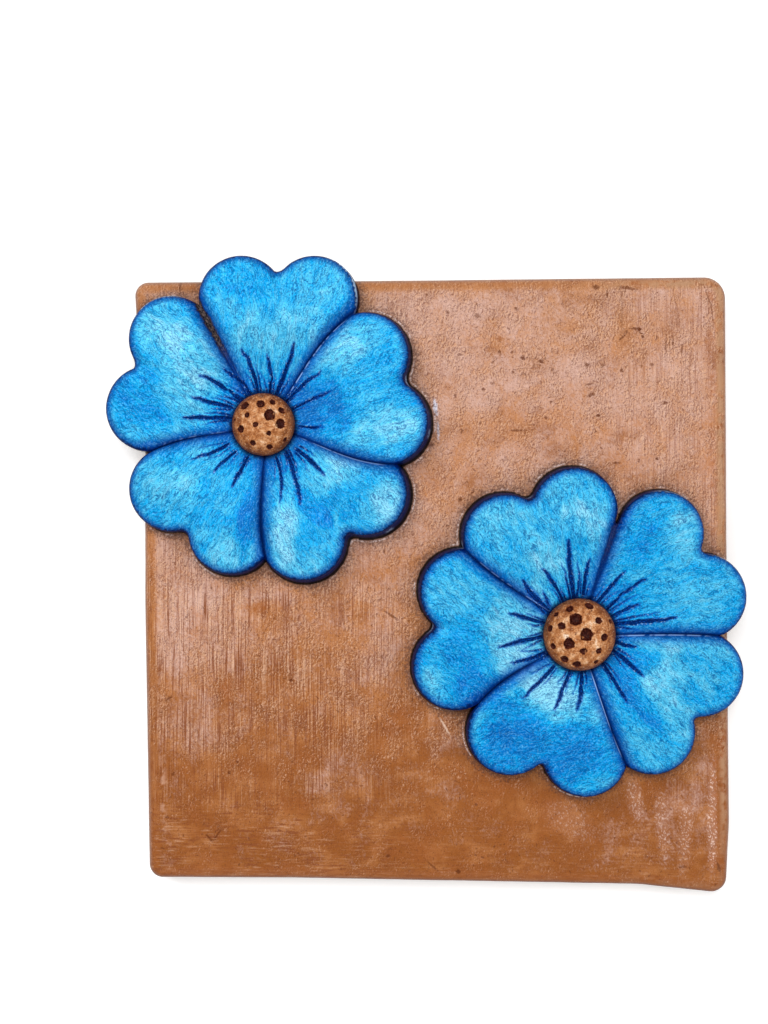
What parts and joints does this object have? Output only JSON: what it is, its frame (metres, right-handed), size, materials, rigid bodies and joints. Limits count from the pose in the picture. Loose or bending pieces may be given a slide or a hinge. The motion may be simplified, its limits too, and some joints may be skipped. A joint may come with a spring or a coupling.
{
  "type": "decorative ceramic wall tile with raised flowers",
  "caption": "Square hand-cut clay tile with raised, blue-painted flowers that overhang its edges, each with a pitted domed centre; lies flat or is fixed by its back.",
  "frame": {"origin": "middle of the slab's flat back face, on the surface that the tile lies on", "axes": "+Z out of the decorated face, +Y to the tile's top edge, +X to its right edge"},
  "size_m": [0.1617, 0.1625, 0.021],
  "materials": {
    "slab_clay": "fired terracotta, brushed with a thin brown stain and a satin varnish",
    "petal_paint": "fired clay under pearly sky-blue paint with dark blue edges and veins, satin",
    "centre_clay": "tan clay with dark brown pits, satin varnish"
  },
  "bodies": {
    "root": {"slab": "slab_clay", "flower_upper_left": "petal_paint", "flower_lower_right": "petal_paint", "centre_upper_left": "centre_clay", "centre_lower_right": "centre_clay"}
  },
  "joints": []
}
